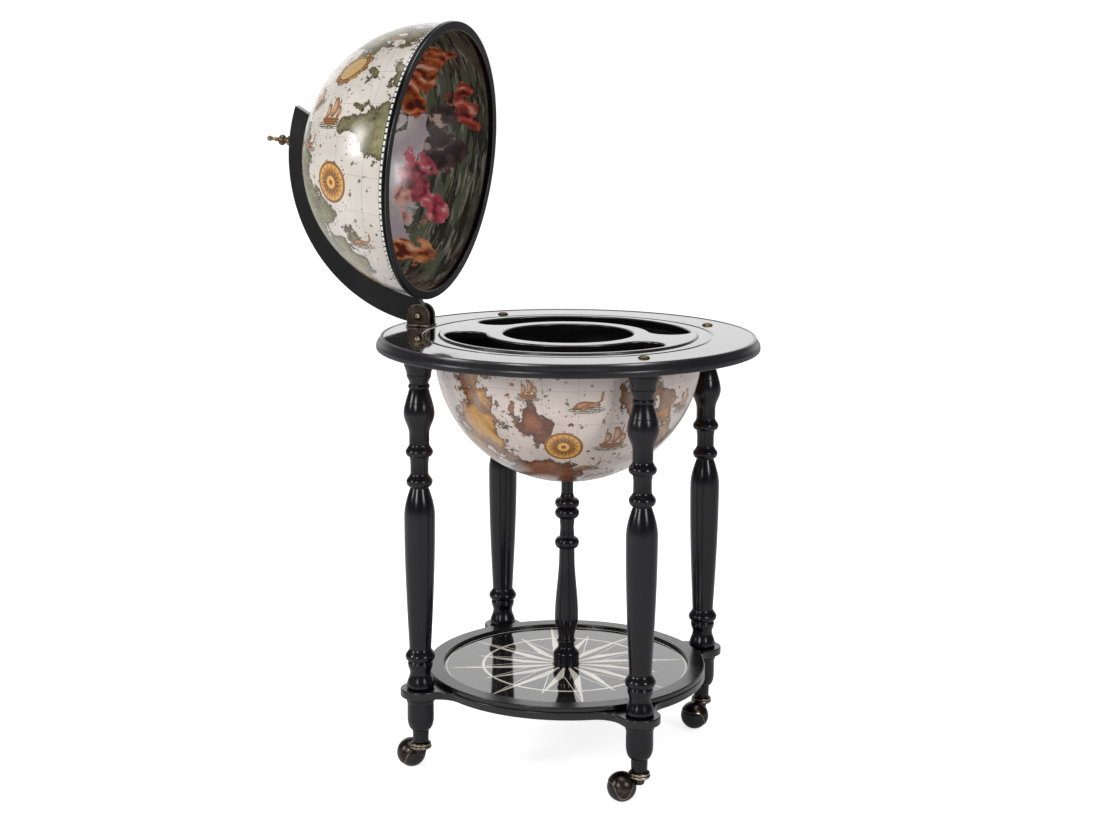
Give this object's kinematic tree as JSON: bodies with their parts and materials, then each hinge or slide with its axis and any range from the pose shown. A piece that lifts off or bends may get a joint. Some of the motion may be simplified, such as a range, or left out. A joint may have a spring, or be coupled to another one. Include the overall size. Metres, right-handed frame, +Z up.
{
  "type": "floor globe bar",
  "caption": "Globe on a turned stand: the lower half holds bottles in a slotted plate, the upper half is a hinged lid on an arm, and a round tray and ball casters are below.",
  "frame": {"origin": "on the floor, under the middle of the width and of the depth, with the lid open", "axes": "+Z up, -Y the front that faces away from the hinge, +X to the right seen from the front"},
  "size_m": [0.472, 0.64, 0.9107],
  "materials": {
    "black_lacquer": "turned wood in glossy black lacquer",
    "table_lacquer": "wood board in very glossy black lacquer",
    "satin_black": "wood in satin black",
    "panel_print": "thin black board with a pale compass rose, glossy",
    "dome_print": "varnished print of an antique style map on a cream ground",
    "bowl_print": "varnished print of an antique style map on a tan ground",
    "antique_bronze": "metal in an antique bronze finish",
    "brass": "aged brass",
    "steel": "plain steel"
  },
  "bodies": {
    "stand": {"table_ring": "table_lacquer", "holder_plate": "table_lacquer", "bowl": "bowl_print", "bowl_shelf": "satin_black", "leg_a": "black_lacquer", "leg_b": "black_lacquer", "leg_c": "black_lacquer", "leg_d": "black_lacquer", "leg_screw_a": "brass", "leg_screw_b": "brass", "leg_screw_c": "brass", "leg_screw_d": "brass", "foot_a": "black_lacquer", "foot_b": "black_lacquer", "foot_c": "black_lacquer", "foot_d": "black_lacquer", "foot_bolt_a": "steel", "foot_bolt_b": "steel", "foot_bolt_c": "steel", "foot_bolt_d": "steel", "tray_base": "black_lacquer", "tray_ring": "black_lacquer", "tray_panel": "panel_print", "centre_spindle": "black_lacquer", "bowl_screw": "brass", "tray_screw": "steel", "hinge_bracket": "antique_bronze", "bracket_screw_a": "antique_bronze", "bracket_screw_b": "antique_bronze", "hinge_pin": "brass"},
    "lid": {"lid_arm": "satin_black", "pole_spacer": "antique_bronze", "finial_bolt": "brass", "pole_washer": "brass", "pole_nut": "brass"},
    "globe_half": {"dome": "dome_print", "dome_lip": "black_lacquer"},
    "caster_a": {"caster_a_stem": "brass", "caster_a_hood": "antique_bronze", "caster_a_axle": "steel"},
    "caster_b": {"caster_b_stem": "brass", "caster_b_hood": "antique_bronze", "caster_b_axle": "steel"},
    "caster_c": {"caster_c_stem": "brass", "caster_c_hood": "antique_bronze", "caster_c_axle": "steel"},
    "caster_d": {"caster_d_stem": "brass", "caster_d_hood": "antique_bronze", "caster_d_axle": "steel"},
    "wheel_a": {"caster_a_wheel": "antique_bronze"},
    "wheel_b": {"caster_b_wheel": "antique_bronze"},
    "wheel_c": {"caster_c_wheel": "antique_bronze"},
    "wheel_d": {"caster_d_wheel": "antique_bronze"}
  },
  "joints": [
    {"name": "lid_hinge", "type": "hinge", "parent": "stand", "child": "lid", "pos_m": [0, 0.11303, 0.543], "axis": [1, 0, 0], "range_deg": [0, 84.3]},
    {"name": "dome_spin", "type": "hinge", "parent": "lid", "child": "globe_half", "pos_m": [0, 0.0865, 0.73833], "axis": [0, 0.9951, 0.0993], "continuous": true},
    {"name": "caster_a_swivel", "type": "hinge", "parent": "stand", "child": "caster_a", "pos_m": [-0.13965, 0.05568, 0.04], "axis": [0, 0, 1], "continuous": true},
    {"name": "caster_b_swivel", "type": "hinge", "parent": "stand", "child": "caster_b", "pos_m": [0.13965, 0.05568, 0.04], "axis": [0, 0, 1], "continuous": true},
    {"name": "caster_c_swivel", "type": "hinge", "parent": "stand", "child": "caster_c", "pos_m": [0.13965, -0.22362, 0.04], "axis": [0, 0, 1], "continuous": true},
    {"name": "caster_d_swivel", "type": "hinge", "parent": "stand", "child": "caster_d", "pos_m": [-0.13965, -0.22362, 0.04], "axis": [0, 0, 1], "continuous": true},
    {"name": "wheel_a_spin", "type": "hinge", "parent": "caster_a", "child": "wheel_a", "pos_m": [-0.12875, 0.07281, 0.0175], "axis": [0.6736, -0.4291, -0.6018], "continuous": true},
    {"name": "wheel_b_spin", "type": "hinge", "parent": "caster_b", "child": "wheel_b", "pos_m": [0.15873, 0.06263, 0.0175], "axis": [0.2731, -0.7505, -0.6018], "continuous": true},
    {"name": "wheel_c_spin", "type": "hinge", "parent": "caster_c", "child": "wheel_c", "pos_m": [0.11967, -0.22006, 0.0175], "axis": [0.1401, 0.7863, -0.6018], "continuous": true},
    {"name": "wheel_d_spin", "type": "hinge", "parent": "caster_d", "child": "wheel_d", "pos_m": [-0.14603, -0.20435, 0.0175], "axis": [0.7582, 0.2508, -0.6018], "continuous": true}
  ]
}
